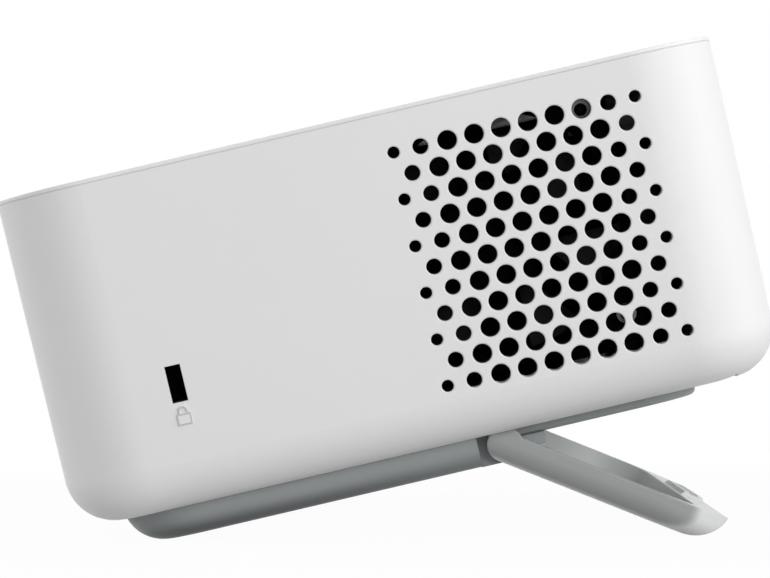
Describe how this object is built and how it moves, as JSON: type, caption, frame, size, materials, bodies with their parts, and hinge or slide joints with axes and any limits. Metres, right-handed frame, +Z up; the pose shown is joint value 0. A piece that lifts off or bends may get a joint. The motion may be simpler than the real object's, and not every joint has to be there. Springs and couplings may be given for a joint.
{
  "type": "projector with built in dvd player",
  "caption": "Small table projector with a slim disc tray beside the lens, vented ends, top keys and a fold-out stand that props the front up.",
  "frame": {"origin": "middle of the bounding box on the surface it stands on, as it stands with its front propped up by the open stand", "axes": "+Z up, +X along the width (the picture is taken from -X), -Y towards the lens and the tray"},
  "size_m": [0.22, 0.1494, 0.0962],
  "materials": {
    "white_shell": "fine matte white moulding",
    "white_cover": "fine matte white moulding",
    "grey_base": "satin mid grey moulding",
    "stand_grey": "satin light grey moulding",
    "key_plastic": "matte light grey",
    "rubber": "soft matte",
    "steel": "plain",
    "brass": "turned",
    "black_plastic": "fine texture",
    "bezel": "gloss",
    "glass": "coated",
    "engine_metal": "die cast",
    "circuit_board": "solder mask",
    "port_metal": "plated",
    "jack_plastic": "plain",
    "red_emitter": "clear dome",
    "green_emitter": "clear dome",
    "blue_emitter": "clear dome",
    "ribbon": "flat ribbon",
    "cone_paper": "pressed paper",
    "dark_window": "smoked",
    "light_pipe": "frosted"
  },
  "bodies": {
    "body": {"shell": "white_shell", "top_cover": "white_cover", "base": "grey_base", "base_feet": "rubber", "base_screws": "steel", "tripod_insert": "brass", "hinge_pins": "steel", "lens_bezel": "bezel", "lens_barrel": "black_plastic", "front_lens": "glass", "rear_lens": "glass", "engine_housing": "engine_metal", "engine_cover": "black_plastic", "prism": "glass", "imager_board": "circuit_board", "red_lamp": "red_emitter", "green_lamp": "green_emitter", "blue_lamp": "blue_emitter", "heat_sink": "engine_metal", "fan_frame": "black_plastic", "fan_screws": "steel", "main_board": "circuit_board", "video_port": "port_metal", "data_port": "port_metal", "audio_jack": "jack_plastic", "power_inlet": "jack_plastic", "keypad_board": "circuit_board", "drive_chassis": "steel", "drive_lid": "steel", "drive_ribbon": "ribbon", "speaker_frame": "black_plastic", "speaker_cone": "cone_paper", "receiver_window": "dark_window", "status_light": "light_pipe"},
    "stand": {"stand": "stand_grey", "stand_pads": "rubber"},
    "focus": {"focus_ring": "black_plastic"},
    "fan": {"fan_rotor": "black_plastic"},
    "left_rail": {"left_rail": "steel"},
    "right_rail": {"right_rail": "steel"},
    "tray": {"tray": "black_plastic", "tray_bezel": "white_cover", "spindle_motor": "engine_metal", "sled_rods": "steel"},
    "spindle": {"spindle_hub": "black_plastic"},
    "pickup": {"pickup_sled": "black_plastic", "pickup_lens": "glass"},
    "drive_key": {"drive_key": "key_plastic"},
    "ok_key": {"ok_key": "key_plastic"},
    "up_key": {"up_key": "key_plastic"},
    "down_key": {"down_key": "key_plastic"},
    "left_key": {"left_key": "key_plastic"},
    "right_key": {"right_key": "key_plastic"},
    "power_key": {"power_key": "key_plastic"},
    "play_key": {"play_key": "key_plastic"},
    "disc_key": {"disc_key": "key_plastic"}
  },
  "joints": [
    {"name": "stand_fold", "type": "hinge", "parent": "body", "child": "stand", "pos_m": [0, -0.02248, 0.01822], "axis": [-1, 0, 0], "range_deg": [0, 34.8]},
    {"name": "focus_turn", "type": "hinge", "parent": "body", "child": "focus", "pos_m": [-0.06695, -0.06918, 0.06598], "axis": [0, -0.9762, 0.2168], "range_deg": [-45, 45]},
    {"name": "fan_spin", "type": "hinge", "parent": "body", "child": "fan", "pos_m": [-0.10403, -0.02191, 0.05814], "axis": [-0.9921, -0.0272, -0.1224], "continuous": true},
    {"name": "tray_slide", "type": "slide", "parent": "body", "child": "tray", "axis": [0, -0.9762, 0.2168], "range_m": [0, 0.126]},
    {"name": "left_rail_slide", "type": "slide", "parent": "body", "child": "left_rail", "axis": [0, -0.9762, 0.2168], "range_m": [0, 0.063]},
    {"name": "right_rail_slide", "type": "slide", "parent": "body", "child": "right_rail", "axis": [0, -0.9762, 0.2168], "range_m": [0, 0.063]},
    {"name": "spindle_spin", "type": "hinge", "parent": "tray", "child": "spindle", "pos_m": [0.02267, -0.00132, 0.07058], "axis": [0, 0.2168, 0.9762], "continuous": true},
    {"name": "pickup_slide", "type": "slide", "parent": "tray", "child": "pickup", "axis": [0, 0.9762, -0.2168], "range_m": [0, 0.028]},
    {"name": "drive_key_press", "type": "slide", "parent": "tray", "child": "drive_key", "axis": [0, 0.9762, -0.2168], "range_m": [0, 0.0004], "stiffness_N_per_m": 400},
    {"name": "ok_key_press", "type": "slide", "parent": "body", "child": "ok_key", "axis": [0, -0.2168, -0.9762], "range_m": [0, 0.0005], "stiffness_N_per_m": 600},
    {"name": "up_key_press", "type": "slide", "parent": "body", "child": "up_key", "axis": [0, -0.2168, -0.9762], "range_m": [0, 0.0005], "stiffness_N_per_m": 600},
    {"name": "down_key_press", "type": "slide", "parent": "body", "child": "down_key", "axis": [0, -0.2168, -0.9762], "range_m": [0, 0.0005], "stiffness_N_per_m": 600},
    {"name": "left_key_press", "type": "slide", "parent": "body", "child": "left_key", "axis": [0, -0.2168, -0.9762], "range_m": [0, 0.0005], "stiffness_N_per_m": 600},
    {"name": "right_key_press", "type": "slide", "parent": "body", "child": "right_key", "axis": [0, -0.2168, -0.9762], "range_m": [0, 0.0005], "stiffness_N_per_m": 600},
    {"name": "power_key_press", "type": "slide", "parent": "body", "child": "power_key", "axis": [0, -0.2168, -0.9762], "range_m": [0, 0.0005], "stiffness_N_per_m": 600},
    {"name": "play_key_press", "type": "slide", "parent": "body", "child": "play_key", "axis": [0, -0.2168, -0.9762], "range_m": [0, 0.0005], "stiffness_N_per_m": 600},
    {"name": "disc_key_press", "type": "slide", "parent": "body", "child": "disc_key", "axis": [0, -0.2168, -0.9762], "range_m": [0, 0.0005], "stiffness_N_per_m": 600}
  ],
  "couplings": [
    {"joint": "left_rail_slide", "follows": "tray_slide", "ratio": 0.5},
    {"joint": "right_rail_slide", "follows": "tray_slide", "ratio": 0.5}
  ]
}
